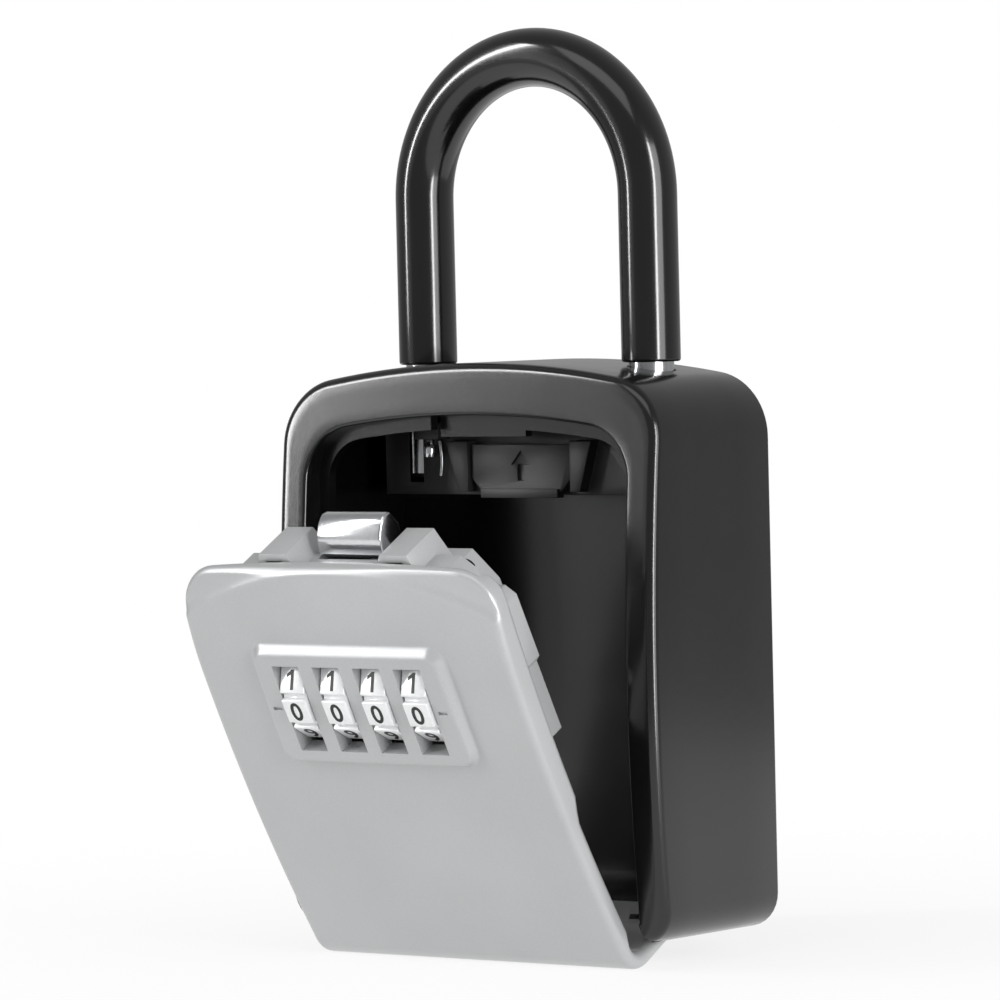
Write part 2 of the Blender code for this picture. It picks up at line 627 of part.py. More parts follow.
def make_door_cover():
    (side, side_back), *others = cover_steps(0)
    cover = piece("door_cover", sheet(side, "y", COVER_FRONT, side_back, DOOR_BASE), "grey_paint", DOOR_BASE)
    for outline, back in others:
        combine(cover, cutter(sheet(outline, "y", COVER_FRONT + 0.2, back, DOOR_BASE), DOOR_BASE), "UNION")
    round_edges(cover, 0.8, segments=1, angle=30)
    for outline, back in cover_steps(COVER_WALL):
        combine(cover, cutter(sheet(outline, "y", COVER_FRONT - 3, back, DOOR_BASE), DOOR_BASE))
    door_side = [(-20, 20), (-20, 120)] + bow(120, 20, PLATE - PROUD + GAP)
    combine(cover, cutter(sheet(door_side, "x", -50, 50, DOOR_BASE), DOOR_BASE))
    for x, z in SCREWS.values():
        combine(cover, cutter(rod((x, 2, z), (x, 30, z), SCREW_RADIUS + GAP, DOOR_BASE, sides=16), DOOR_BASE))
    latch_way = block((-LATCH_HALF - GAP, 7.4, 80), (LATCH_HALF + GAP, 17.2, 100), DOOR_BASE)
    combine(cover, cutter(latch_way, DOOR_BASE))
    lever_way = block((RESET_X - 1.3, 15, RESET_LOW - GAP),
                      (RESET_X + 1.3, 30, RESET_LOW + RESET_HEIGHT + RESET_STROKE + GAP), DOOR_BASE)
    combine(cover, cutter(lever_way, DOOR_BASE))
    return cover


def make_cover_screws():
    for word, (x, z) in SCREWS.items():
        back = SIDE_BACK if z < 80 else STEP_BACK
        shank = rod((x, back - 5, z), (x, back + 1, z), SCREW_RADIUS, DOOR_BASE, sides=16)
        screw = piece(f"cover_screw_{word}", shank, "chrome", DOOR_BASE)
        head = rod((x, back + GAP, z), (x, back + 2.3, z), HEAD_RADIUS, DOOR_BASE, sides=28, end_radius=1.9)
        combine(screw, cutter(head, DOOR_BASE), "UNION")
        for low, high in (((x - 2, back + 1.2, z - 0.4), (x + 2, back + 4, z + 0.4)),
                          ((x - 0.4, back + 1.2, z - 2), (x + 0.4, back + 4, z + 2))):
            combine(screw, cutter(block(low, high, DOOR_BASE), DOOR_BASE))


def make_latch():
    """The chrome push-down button, whose back is a ramp, and the toothed plate that it carries."""
    front = arc(14.3, 92.1, 6.2, 188, 108, 9)
    back = [(14.2, LATCH_TOP - 0.6), (15.6, 94.4), (15.0, LATCH_LOW), (9.4, LATCH_LOW)]
    button = piece("latch_button", sheet(back + front, "x", -LATCH_HALF, LATCH_HALF, DOOR_BASE), "chrome",
                   DOOR_BASE)
    tail = block((-5, 13.6, 87.2), (5, 15.0 - 0.2, LATCH_LOW + 1), DOOR_BASE)
    combine(button, cutter(tail, DOOR_BASE), "UNION")
    tail = block((-5, 13.6, 84.2), (5, PLATE_BACK, 87.6), DOOR_BASE)
    combine(button, cutter(tail, DOOR_BASE), "UNION")

    comb = piece("latch_plate", block((-18, PLATE_FRONT, 66), (21.6, PLATE_BACK, 78), DOOR_BASE), "steel",
                 DOOR_BASE)
    stem = block((-5, PLATE_FRONT, 77), (5, PLATE_BACK, 84.2 - GAP), DOOR_BASE)
    combine(comb, cutter(stem, DOOR_BASE), "UNION")
    tooth_low = AXLE_Z + CAM_RADIUS + LATCH_STROKE + 0.4
    for i in range(DIAL_COUNT):
        x = dial_x(i) + DIAL_PITCH / 2
        tooth = block((x - 1.3, AXLE_Y - 0.8, tooth_low), (x + 1.3, PLATE_FRONT + 0.5, tooth_low + 2.2),
                      DOOR_BASE)
        combine(comb, cutter(tooth, DOOR_BASE), "UNION")
    for side in (-1, 1):
        left, right = side * SPRING_X - 2.4, side * SPRING_X + 2.4
        tab = block((left, 10.4, 83), (right, PLATE_FRONT + 0.4, 84), DOOR_BASE)
        arm = block((left, PLATE_FRONT + 0.1, 77), (right, PLATE_BACK - 0.1, 84), DOOR_BASE)
        combine(comb, cutter(arm, DOOR_BASE), "UNION")
        combine(comb, cutter(tab, DOOR_BASE), "UNION")


def make_latch_springs():
    """Drawn at their pressed length, standing on the dial spring's shelf under the latch plate's tabs."""
    for side, word in ((-1, "left"), (1, "right")):
        make_coil(f"latch_spring_{word}", side * SPRING_X, 12.6, 76.9, 79.4, 1.7, 0.3, 3, "steel", DOOR_BASE)


def make_dial_spring():
    """One strip of spring steel with a nib that rests near each dial's flat."""
    strip = piece("dial_spring", block((-18.4, 2.2, 75.9), (18.4, 14.8, 76.5), DOOR_BASE), "steel", DOOR_BASE)
    for i in range(DIAL_COUNT):
        nib = block((dial_x(i) - 1.5, 3.2, 75.4), (dial_x(i) + 1.5, 4.8, 76.2), DOOR_BASE)
        combine(strip, cutter(nib, DOOR_BASE), "UNION")


def make_reset_lever():
    """The small slide on the inside that is pushed up to set a new code."""
    high = RESET_LOW + RESET_HEIGHT
    stem = block((RESET_X - 1, 15.8, RESET_LOW), (RESET_X + 1, 20.5, high), DOOR_BASE)
    lever = piece("reset_lever", stem, "black_plastic", DOOR_BASE)
    knob = block((RESET_X - 2.2, MIDDLE_BACK + GAP, RESET_LOW - 0.6), (RESET_X + 2.2, 20.8, high + 0.6),
                 DOOR_BASE)
    combine(lever, cutter(knob, DOOR_BASE), "UNION")


# ---------------------------------------------------------------- build

clear_scene()
PARTS = new_collection("key_lock_box")
CUTTERS = new_collection("cutters")
DOOR_PIVOT = bpy.data.objects.new("door_pivot", None)
PARTS.objects.link(DOOR_PIVOT)
DOOR_PIVOT.location = (DOOR_BASE - BOX_BASE) * MM
DOOR_PIVOT.rotation_euler.x = math.radians(OPEN_ANGLE)

body = make_body_shell()
add_hinge_seats(body)
make_hinge_pins()
make_lock_housing()
make_housing_screws()
make_release_slider()
make_lock_bolts()
make_keeper()
make_shackle()
make_door_panel()
make_door_cover()
make_cover_screws()
make_latch()
make_latch_springs()
make_dial_spring()
make_reset_lever()
make_axle()
for number in range(DIAL_COUNT):
    make_dial(number)
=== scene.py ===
# %% [markdown]
# # A key lock box, dressed for its portrait
#
# A key lock box is a small die-cast safe that hangs on a door handle. This lesson starts from a plain
# working model, which knows where each part sits and how it moves, and gives each part its real surface.
# The working model is never bent or moved. Where its surface is too plain, a finer piece stands in for it.

# %% Load the working model
import json
import math

import bmesh
import bpy
from mathutils import Matrix, Vector


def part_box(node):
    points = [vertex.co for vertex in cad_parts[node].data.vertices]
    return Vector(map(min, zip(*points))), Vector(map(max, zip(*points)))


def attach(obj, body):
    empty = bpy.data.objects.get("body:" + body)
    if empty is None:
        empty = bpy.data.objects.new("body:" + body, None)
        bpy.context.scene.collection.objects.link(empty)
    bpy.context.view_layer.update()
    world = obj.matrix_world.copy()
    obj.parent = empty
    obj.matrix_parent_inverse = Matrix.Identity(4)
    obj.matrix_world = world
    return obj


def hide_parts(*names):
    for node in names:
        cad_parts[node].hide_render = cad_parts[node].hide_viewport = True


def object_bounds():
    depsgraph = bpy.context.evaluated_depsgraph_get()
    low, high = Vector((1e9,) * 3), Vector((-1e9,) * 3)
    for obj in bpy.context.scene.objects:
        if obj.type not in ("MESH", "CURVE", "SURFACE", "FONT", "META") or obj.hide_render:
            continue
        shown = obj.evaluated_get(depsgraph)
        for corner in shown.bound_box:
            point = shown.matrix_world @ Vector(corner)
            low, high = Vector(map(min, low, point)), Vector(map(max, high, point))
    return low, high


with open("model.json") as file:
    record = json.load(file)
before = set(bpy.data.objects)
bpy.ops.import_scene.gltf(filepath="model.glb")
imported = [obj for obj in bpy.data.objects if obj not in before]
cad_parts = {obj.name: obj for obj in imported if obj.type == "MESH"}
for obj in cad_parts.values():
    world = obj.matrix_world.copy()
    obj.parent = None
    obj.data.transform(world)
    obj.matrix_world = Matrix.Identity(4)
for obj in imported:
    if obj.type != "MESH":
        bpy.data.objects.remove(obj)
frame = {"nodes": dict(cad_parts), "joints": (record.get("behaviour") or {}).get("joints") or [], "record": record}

cad_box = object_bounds()

# %% [markdown]
# ## Measuring in the box's own millimetres
#
# A maker measures from the front, the middle and the underside of the box. So the lesson does too: x goes
# right, y goes back from the most forward line of the front, and z goes up. One function turns such a
# place into Blender's metres. The box's outer size is read from the working model.

# %% Millimetres
MM = 0.001
shell_low, shell_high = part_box("body_shell")
HALF_WIDTH = shell_high.x / MM
HEIGHT = (shell_high.z - shell_low.z) / MM
DEPTH = (shell_high.y - shell_low.y) / MM
CORNER_PLACE = Vector((0, shell_low.y, shell_low.z))


def at(x, y, z):
    return CORNER_PLACE + Vector((x, y, z)) * MM


print(f"box: {2 * HALF_WIDTH:.1f} wide, {DEPTH:.1f} deep, {HEIGHT:.1f} high, in mm")

# %% [markdown]
# The door is easiest to draw shut and upright. Its hinge joint says where it turns and how far it stands
# open, so one matrix swings every door piece into its place.

# %% The door's swing
joints = {joint["name"]: joint for joint in frame["joints"]}
hinge = Vector(joints["door_hinge"]["pos_m"])
HINGE_Y, HINGE_Z = (hinge - CORNER_PLACE).yz / MM
OPEN_ANGLE = -math.radians(joints["door_hinge"]["range_deg"][0])
SWING = Matrix.Translation(hinge) @ Matrix.Rotation(OPEN_ANGLE, 4, "X") @ Matrix.Translation(-hinge)
print(f"the door stands {math.degrees(OPEN_ANGLE):.0f} degrees open")

# %% [markdown]
# ## Materials
#
# Every finish here is a small graph of nodes. One function adds a node, sets its sockets and plugs in what
# feeds it. Another turns an sRGB colour, as a paint card gives it, into the linear light that Blender uses.


# %% Two small helpers for materials
def linear(code):
    """An sRGB hex colour such as 'A0A1A3' as linear RGBA."""
    parts = [int(code[i:i + 2], 16) / 255 for i in (0, 2, 4)]
    return tuple(c / 12.92 if c <= 0.04045 else ((c + 0.055) / 1.055) ** 2.4 for c in parts) + (1.0,)


def add(tree, kind, values=(), links=(), **settings):
    """One node, with its settings, its socket values and the outputs that feed it."""
    node = tree.nodes.new(kind)
    for key, value in settings.items():
        setattr(node, key, value)
    for socket, value in dict(values).items():
        node.inputs[socket].default_value = value
    for socket, source in dict(links).items():
        tree.links.new(source, node.inputs[socket])
    return node


print("mid grey 808080 is", round(linear("808080")[0], 3), "in linear light")


# %% [markdown]
# Most finishes share a skeleton: a fine noise makes the bumps that the finish has, a broad noise makes its
# gloss and colour drift a little from place to place, and the shader takes both. The sizes are real ones
# in millimetres: a noise of scale 1 / size repeats about once in that size.

# %% The shared skeleton of a finish
def finish_of(name, dark, light, gloss, grain_mm, relief_mm, stretch=(1, 1, 1), patch_mm=14.0, **shader):
    """A material whose colour and roughness drift in patches, over a fine grain."""
    made = bpy.data.materials.new(name)
    made.use_nodes = True
    tree = made.node_tree
    tree.nodes.clear()
    place = add(tree, "ShaderNodeTexCoord").outputs["Object"]
    pulled = add(tree, "ShaderNodeMapping", {"Scale": stretch}, {"Vector": place}).outputs["Vector"]
    grain = add(tree, "ShaderNodeTexNoise", {"Scale": 1 / (grain_mm * MM), "Detail": 3.0, "Roughness": 0.55},
                {"Vector": pulled})
    patch = add(tree, "ShaderNodeTexNoise", {"Scale": 1 / (patch_mm * MM), "Detail": 4.0}, {"Vector": place})
    both = add(tree, "ShaderNodeMix", {"Factor": 0.5}, data_type="FLOAT",
               links={"A": grain.outputs["Fac"], "B": patch.outputs["Fac"]})
    colour = add(tree, "ShaderNodeValToRGB", links={"Fac": both.outputs["Result"]})
    colour.color_ramp.elements[0].position, colour.color_ramp.elements[0].color = 0.32, linear(dark)
    colour.color_ramp.elements[1].position, colour.color_ramp.elements[1].color = 0.68, linear(light)
    rough = add(tree, "ShaderNodeMapRange", {"To Min": gloss[0], "To Max": gloss[1]},
                {"Value": both.outputs["Result"]})
    bump = add(tree, "ShaderNodeBump", {"Strength": 1.0, "Distance": relief_mm * MM},
               {"Height": grain.outputs["Fac"]})
    body = add(tree, "ShaderNodeBsdfPrincipled", shader, {
        "Base Color": colour.outputs["Color"], "Roughness": rough.outputs["Result"],
        "Normal": bump.outputs["Normal"]})
    add(tree, "ShaderNodeOutputMaterial", links={"Surface": body.outputs["BSDF"]})
    return made


# %% [markdown]
# **The box** is zinc, cast in a steel mould and powder coated in satin black. Powder melts into a skin
# with a faint ripple about a millimetre across, called orange peel. It breaks up reflections softly.

# %% Black powder coat
def black_powder_coat():
    return finish_of("black_powder_coat_on_zinc", "070708", "0C0C0D", (0.15, 0.23), 1.1, 0.008,
                     **{"IOR": 1.5, "Coat Weight": 0.25, "Coat Roughness": 0.12})


# %% [markdown]
# **The door** is the same casting under a silver lacquer. The lacquer carries aluminium flakes, finer than
# the eye can part, so they are drawn a little coarse, at a third of a millimetre.

# %% Silver lacquer
def silver_lacquer():
    return finish_of("silver_lacquer_on_zinc", "A9AAAB", "B2B3B4", (0.30, 0.40), 0.35, 0.003, patch_mm=25.0,
                     **{"Metallic": 0.25, "IOR": 1.5, "Coat Weight": 0.3, "Coat Roughness": 0.12})


# %% [markdown]
# **The latch button and screw heads** are bright chrome plate: a mirror under a light haze. **The
# shackle's sleeve** is black vinyl, drawn over the steel through a ring, which leaves long faint lines.
# **Steel** parts are rolled or turned, so their grain is long and thin.

# %% Chrome, vinyl and steel
def chrome_plate():
    return finish_of("bright_chrome_plate", "D2D4D6", "DEDFE1", (0.12, 0.20), 0.8, 0.001, **{"Metallic": 1.0})


def drawn_vinyl():
    return finish_of("drawn_black_vinyl", "040404", "080809", (0.14, 0.20), 0.9, 0.006, stretch=(1, 1, 0.06),
                     **{"IOR": 1.53, "Coat Weight": 0.3, "Coat Roughness": 0.08})


def zinc_plated_steel():
    return finish_of("zinc_plated_steel", "8E9093", "A7A9AB", (0.22, 0.38), 0.5, 0.004, stretch=(0.1, 1, 1),
                     **{"Metallic": 1.0})


def polished_steel_bar():
    return finish_of("polished_steel_bar", "B4B5B7", "C6C7C9", (0.14, 0.24), 0.4, 0.002, stretch=(1, 1, 0.1),
                     **{"Metallic": 1.0})


# %% [markdown]
# **The dials** are ABS, moulded and then metallised in a pale satin chrome, with digits filled in black.
# **The lock housing** is black ABS from a spark-eroded mould, whose fine craters make it matt.

# %% Plastics and ink
def metallised_abs():
    return finish_of("metallised_abs", "DADBDC", "E9EAEB", (0.26, 0.36), 0.6, 0.002,
                     **{"Metallic": 0.35, "IOR": 1.46})


def moulded_black_abs():
    return finish_of("moulded_black_abs", "151517", "1F1F21", (0.40, 0.55), 0.4, 0.02, **{"IOR": 1.54})


def filled_digit_enamel():
    return finish_of("filled_digit_enamel", "060606", "101010", (0.3, 0.45), 0.5, 0.003, **{"IOR": 1.5})


FINISHES = {
    "black_paint": black_powder_coat(), "grey_paint": silver_lacquer(), "chrome": chrome_plate(),
    "steel": zinc_plated_steel(), "black_sleeve": drawn_vinyl(), "dial_white": metallised_abs(),
    "black_plastic": moulded_black_abs(),
}
SHACKLE_STEEL = polished_steel_bar()
DIGIT_BLACK = filled_digit_enamel()
print("finishes:", ", ".join(made.name for made in FINISHES.values()))

# %% [markdown]
# ## Making pieces
#
# Every piece ends the same way: it gets its finish, rides on a body of the working model, and stands for
# one of its nodes. Edges between faces that meet at a clear angle stay sharp, and the rest shade smooth.

# %% Put a piece in place
BODY_OF = {node: body for body, nodes in frame["record"]["behaviour"]["bodies"].items() for node in nodes}


def new_piece(name, mesh, slot, node, look=None, sharp=32, swing=None):
    """Finish a mesh as a visible piece that stands for a node."""
    item = placed(name, mesh)
    if swing is not None:
        mesh.transform(swing)
    mesh.materials.clear()
    mesh.materials.append(look or FINISHES[slot])
    mesh.shade_smooth()
    mesh.set_sharp_from_angle(angle=math.radians(sharp))
    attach(item, BODY_OF[node])
    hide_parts(node)
    return item


# %% [markdown]
# Two ways of making cover nearly all of this object. A **loft** joins rings of points that run round a
# section, and suits castings whose section changes from front to back. A **prism** pulls one outline
# straight. Holes and slots are then carved with a Boolean, as a milling cutter would.

# %% Loft, prism, rod and carve
def mesh_of(work, name):
    bmesh.ops.recalc_face_normals(work, faces=work.faces)
    mesh = bpy.data.meshes.new(name)
    work.to_mesh(mesh)
    work.free()
    return mesh


def placed(name, data):
    item = bpy.data.objects.new(name, data)
    bpy.context.scene.collection.objects.link(item)
    return item


def evaluated(item):
    """What an item looks like with its modifiers, as a mesh; the item itself is thrown away."""
    graph = bpy.context.evaluated_depsgraph_get()
    mesh = bpy.data.meshes.new_from_object(item.evaluated_get(graph))
    bpy.data.objects.remove(item)
    return mesh


def loft(name, rings, closed=False):
    """Quads between rings of equally many points; the end rings are capped, or joined to each other."""
    work = bmesh.new()
    rows = [[work.verts.new(point) for point in ring] for ring in rings]
    pairs = list(zip(rows, rows[1:])) + ([(rows[-1], rows[0])] if closed else [])
    for near, far in pairs:
        for i in range(len(near)):
            work.faces.new((near[i - 1], near[i], far[i], far[i - 1]))
    if not closed:
        work.faces.new(rows[0])
        work.faces.new(rows[-1])
    return mesh_of(work, name)


def prism(name, outline, axis, start, end):
    """An outline in mm pulled along one axis: (y, z) along x, (x, z) along y, (x, y) along z."""
    spot = {"x": lambda u, v, w: at(w, u, v), "y": lambda u, v, w: at(u, w, v),
            "z": lambda u, v, w: at(u, v, w)}
    return loft(name, [[spot[axis](u, v, w) for u, v in outline] for w in (start, end)])


def slab(name, low, high):
    """A block between two corners, in mm."""
    corners = [(low[0], low[1]), (high[0], low[1]), (high[0], high[1]), (low[0], high[1])]
    return prism(name, corners, "z", low[2], high[2])


def turned(name, start, end, radii, sides=48):
    """A round bar between two points; radii are (share of the length, radius in mm)."""
    start, end = at(*start), at(*end)
    turn = Vector((0, 0, 1)).rotation_difference(end - start).to_matrix()
    rings = []
    for share, radius in radii:
        spokes = [Vector((math.cos(a), math.sin(a), 0)) * radius * MM
                  for a in (2 * math.pi * i / sides for i in range(sides))]
        rings.append([start.lerp(end, share) + turn @ spoke for spoke in spokes])
    return loft(name, rings)


def bore(name, start, end, radius, sides=48):
    return turned(name, start, end, [(0, radius), (1, radius)], sides)


def carve(mesh, *tools, how="DIFFERENCE"):
    """Cut or join meshes with the exact Boolean and return the result."""
    holder = placed("carved", mesh)
    bits = [placed("tool", tool) for tool in tools]
    for bit in bits:
        step = holder.modifiers.new("cut", "BOOLEAN")
        step.object, step.operation, step.solver = bit, how, "EXACT"
    result = evaluated(holder)
    for bit in bits:
        bpy.data.objects.remove(bit)
    return result


def eased(mesh, width, segments=3, angle=35):
    """Round a mesh's sharp edges by a width in mm."""
    holder = placed("eased", mesh)
    step = holder.modifiers.new("round", "BEVEL")
    step.width, step.segments, step.angle_limit = width * MM, segments, math.radians(angle)
    step.limit_method = "ANGLE"
    step.harden_normals = False
    return evaluated(holder)


def arc(cx, cy, radius, first, last, steps):
    """Points on an arc between two angles in degrees, ends included."""
    angles = [math.radians(first + (last - first) * i / steps) for i in range(steps + 1)]
    return [(cx + radius * math.cos(a), cy + radius * math.sin(a)) for a in angles]


# %% [markdown]
# ## The box
#
# The front of the box is bowed from top to bottom and its top is arched. One function gives the outline
# for any inset, always with the same number of points. The rings of the loft then walk over the whole
# casting: round the back edge, along the side, over the rounded front edge, across the front, down into
# the rebate for the door, over the thin lip, and back along the inside of the walls.

# %% The box's outline and bow
FRONT_RADIUS, FRONT_APEX = 437.0, 51.5
ARCH, CORNER, FOOT_CORNER = 215.0, 13.0, 7.0


def front_y(z):
    return (z - FRONT_APEX) ** 2 / (2 * FRONT_RADIUS)


def run(start, end, steps):
    """Points between two ends, without the ends."""
    return [(start[0] + (end[0] - start[0]) * i / steps, start[1] + (end[1] - start[1]) * i / steps)
            for i in range(1, steps)]


def box_outline(half, low, high, arch, corner, foot):
    """Round from the right side over the arched top and down the left side to the feet."""
    corner_x, centre = half - corner, high - arch
    corner_z = centre + math.sqrt((arch - corner) ** 2 - corner_x ** 2)
    meet = math.degrees(math.atan2(corner_z - centre, corner_x))
    points = arc(corner_x, corner_z, corner, 0, meet, 14)
    points += arc(0, centre, arch, meet, 180 - meet, 36)[1:-1]
    points += arc(-corner_x, corner_z, corner, 180 - meet, 180, 14)
    points += run((-half, corner_z), (-half, low + foot), 30)
    points += arc(-half + foot, low + foot, foot, 180, 270, 8)
    points += run((-half + foot, low), (half - foot, low), 12)
    points += arc(half - foot, low + foot, foot, 270, 360, 8)
    points += run((half, low + foot), (half, corner_z), 30)
    return points


print(len(box_outline(HALF_WIDTH, 0, HEIGHT, ARCH, CORNER, FOOT_CORNER)), "points in each ring")

# %% The rings of the casting
WALL, BACK_WALL = 3.2, 2.6
FRONT_ROUND, BACK_ROUND, MOUTH_ROUND = 1.9, 1.0, 0.8
MOUTH = (39.9, 4.0, 103.1, ARCH, 11.0, 0.02)  # half width, low, high, arch, corner, foot
LIP = (37.5, 4.02, 100.4, ARCH, 9.0, 0.02)
REBATE_END, LIP_END, SILL_END = 6.1, 8.3, 18.6
QUARTER = [math.radians(90 * i / 8) for i in range(9)]


def ring(section, y, bow):
    return [at(x, y + bow * front_y(z), z) for x, z in box_outline(*section)]


def drawn_in(section, inset):
    half, low, high, arch, corner, foot = section
    return (half - inset, low + inset, high - inset, arch - inset, corner - inset, max(foot - inset, 0.02))


def between(first, last, share):
    return tuple(a + (b - a) * share for a, b in zip(first, last))


outer = (HALF_WIDTH, 0.0, HEIGHT, ARCH, CORNER, FOOT_CORNER)
front_edge = drawn_in(outer, FRONT_ROUND)
mouth_edge = drawn_in(MOUTH, -MOUTH_ROUND)
mouth_edge = mouth_edge[:1] + (MOUTH[1],) + mouth_edge[2:]
cavity = drawn_in(outer, WALL)
rings = [ring(drawn_in(outer, BACK_ROUND * (1 - math.sin(a))), DEPTH - BACK_ROUND * (1 - math.cos(a)), 0)
         for a in QUARTER]
rings += [ring(outer, y, 1 - y / DEPTH) for y in (30, 20, 10)]
rings += [ring(drawn_in(outer, FRONT_ROUND * (1 - math.cos(a))), FRONT_ROUND * (1 - math.sin(a)), 1)
          for a in QUARTER]
rings += [ring(between(front_edge, mouth_edge, share), 0, 1) for share in (0.25, 0.5, 0.75)]
for a in QUARTER:
    share = math.sin(a)
    rings.append(ring(between(mouth_edge, MOUTH, share), MOUTH_ROUND * (1 - math.cos(a)), 1))
rings += [ring(MOUTH, y, 1 - y / REBATE_END) for y in (3, REBATE_END - 0.01)]
rings += [ring(LIP, REBATE_END, 0), ring(LIP, LIP_END, 0), ring(cavity, LIP_END, 0)]
rings += [ring(cavity, DEPTH - BACK_WALL, 0)]
casting = loft("casting", rings)
print(len(rings), "rings,", len(casting.polygons), "faces")

# %% [markdown]
# The casting is then machined. The sill is opened for the door's foot, whose rounded rails stay on both
# sides. The lip has a finger gap over the latch button, with a strike bar behind it, and the top has two
# holes for the shackle.

# %% Machine the casting
NOTCH_HALF, RAIL_ROUND, PIN_RADIUS, GAP = 11.0, 4.6, 1.2, 0.3
LEG_X, LEG_Y, CORE_RADIUS, SLEEVE_RADIUS, LEG_GAP = 28.0, 27.6, 4.55, 5.9, 0.4
opening_half = MOUTH[0]
tools = [
    slab("sill", (-opening_half, -12, -8), (opening_half, SILL_END, 4.2)),
    slab("finger_gap", (-NOTCH_HALF, REBATE_END - 2, 94), (NOTCH_HALF, LIP_END + 2, MOUTH[2] - 0.2)),
]
for side in (-1, 1):
    edge = opening_half + RAIL_ROUND
    rail = [(side * x, z) for x, z in arc(edge, RAIL_ROUND, RAIL_ROUND, 180, 270, 12)]
    rail += [(side * edge, -2), (side * (opening_half - 1), -2), (side * (opening_half - 1), RAIL_ROUND)]
    tools.append(prism("rail", rail, "y", -12, 7))
    tools.append(bore("leg_hole", (side * LEG_X, LEG_Y, 100), (side * LEG_X, LEG_Y, 130),
                      CORE_RADIUS + LEG_GAP))
casting = carve(casting, *tools)
bosses = [slab("strike", (-NOTCH_HALF + 0.4, 8.8, 98.7), (NOTCH_HALF - 0.4, 10.8, HEIGHT - 2))]
for side in (-1, 1):
    inner, wall = side * (opening_half + 0.2), side * (HALF_WIDTH - 2.6)
    bosses.append(slab("hinge_seat", (min(inner, wall), HINGE_Y - 3.4, WALL - 0.6),
                       (max(inner, wall), HINGE_Y + 3.4, HINGE_Z + 4)))
casting = carve(casting, *bosses, how="UNION")
seats = [bore("seat", (side * 36, HINGE_Y, HINGE_Z), (side * (HALF_WIDTH - WALL), HINGE_Y, HINGE_Z),
              PIN_RADIUS + GAP) for side in (-1, 1)]
casting = carve(casting, *seats)
new_piece("box_casting", casting, "black_paint", "body_shell", sharp=30)
print("box casting:", len(casting.polygons), "faces")

# %% [markdown]
# ## The shackle
#
# The shackle is a steel bar bent into a U inside a vinyl sleeve. Its path is two straight legs and a half
# circle, all in one plane. A ring of points is set square to the path at each step, and the rings are
# lofted. The sleeve's rings go out along its skin and come back along its bore.


# %% Rings along the shackle
ARCH_CENTRE, SLEEVE_END, LEG_END = 146.1, 112.8, 90.0
AROUND, ARCH_STEPS = 56, 64
SLEEVE_EASE, CORE_EASE = 0.6, 0.8


def shackle_spot(share_list, low):
    """(centre, outward direction in the plane) along the shackle, right leg to left."""
    spots = [((LEG_X, z), (1, 0)) for z in (low + (ARCH_CENTRE - low) * s for s in share_list)]
    for i in range(1, ARCH_STEPS):
        a = math.pi * i / ARCH_STEPS
        spots.append(((LEG_X * math.cos(a), ARCH_CENTRE + LEG_X * math.sin(a)), (math.cos(a), math.sin(a))))
    spots += [((-x, z), (-1, 0)) for (x, z), _ in spots[:len(share_list)][::-1]]
    return spots


def band(spot, radius):
    (x, z), (out_x, out_z) = spot
    points = []
    for i in range(AROUND):
        a = 2 * math.pi * i / AROUND
        reach = radius * math.cos(a)
        points.append(at(x + out_x * reach, LEG_Y + radius * math.sin(a), z + out_z * reach))
    return points


def sleeve_end(side, rise, grow):
    spot = ((side * LEG_X, SLEEVE_END + SLEEVE_EASE * rise), (side, 0))
    return band(spot, SLEEVE_RADIUS - SLEEVE_EASE * (1 - grow))


def sleeve_rings():
    """Outer skin with softly rounded ends, then the bore on the way back."""
    rings = []
    skin = shackle_spot([0, 0.25, 0.5, 0.75, 1], SLEEVE_END + SLEEVE_EASE)
    ends = [(1 - math.cos(a), math.sin(a)) for a in QUARTER]
    for rise, grow in ends[:-1]:
        rings.append(sleeve_end(1, rise, grow))
    rings += [band(spot, SLEEVE_RADIUS) for spot in skin]
    for rise, grow in ends[-2::-1]:
        rings.append(sleeve_end(-1, rise, grow))
    rings += [band(spot, CORE_RADIUS + GAP) for spot in shackle_spot([0, 0.5, 1], SLEEVE_END)[::-1]]
    return rings


new_piece("vinyl_sleeve", loft("sleeve", sleeve_rings(), closed=True), "black_sleeve", "shackle_sleeve")

# %% [markdown]
# The bar ends in small chamfers. Each leg has a notch on its inner side, for the bolt that locks it.

# %% The steel bar
BOLT_Z, BITE_HALF, BITE_DEPTH = 94.0, 3.0, 2.8
core_rings = [band(((LEG_X, LEG_END), (1, 0)), CORE_RADIUS - CORE_EASE)]
core_rings += [band(spot, CORE_RADIUS) for spot in shackle_spot([0, 0.5, 1], LEG_END + CORE_EASE)]
core_rings += [band(((-LEG_X, LEG_END), (-1, 0)), CORE_RADIUS - CORE_EASE)]
bites = []
for side in (-1, 1):
    inner, bite = side * (LEG_X - CORE_RADIUS - 1), side * (LEG_X - CORE_RADIUS + BITE_DEPTH)
    bites.append(slab("bite", (min(inner, bite), LEG_Y - 6, BOLT_Z - BITE_HALF),
                      (max(inner, bite), LEG_Y + 6, BOLT_Z + BITE_HALF)))
core = carve(loft("core", core_rings), *bites)
new_piece("shackle_bar", core, "steel", "shackle_core", look=SHACKLE_STEEL)
print("shackle:", len(core.polygons), "faces in the bar")

# %% [markdown]
# ## The door
#
# The door is one casting that is J-shaped from the side: a bowed plate that turns back at the foot round
# to its hinge. Its look comes from gentle changes of its front, so the front is a function: the bow of the
# box, set forward, drawn back above a curved crease near the top, and raised in a pad round the dials.
# Columns of points follow that J, from one side of the door to the other.

